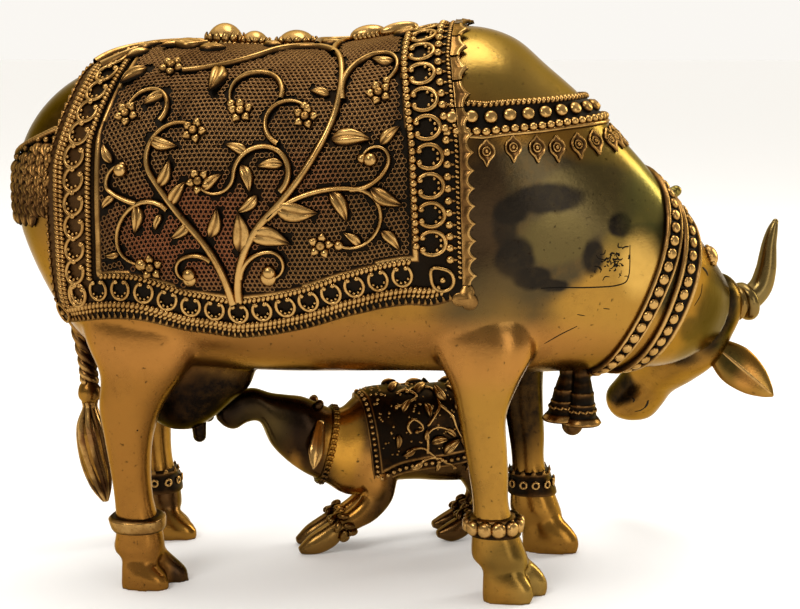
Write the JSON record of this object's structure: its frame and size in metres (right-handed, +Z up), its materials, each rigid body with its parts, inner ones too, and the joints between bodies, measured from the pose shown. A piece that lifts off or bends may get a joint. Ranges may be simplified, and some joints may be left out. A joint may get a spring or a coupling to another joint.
{
  "type": "brass cow and calf statue",
  "caption": "Cast brass cow standing under an ornamented saddlecloth, her head turned back towards a calf that drinks from her.",
  "frame": {"origin": "middle of the footprint of cow and calf, at the level of the soles", "axes": "+X towards the cow's chest, +Z up, the shown flank on -Y"},
  "size_m": [0.2542, 0.1206, 0.1828],
  "materials": {
    "cow_brass": "hand polished golden brass, dark patina left in the hollows of the relief",
    "calf_brass": "brass with a heavy brown patina, rubbed bright on the high places"
  },
  "bodies": {
    "root": {"cow": "cow_brass", "calf": "calf_brass"}
  },
  "joints": []
}
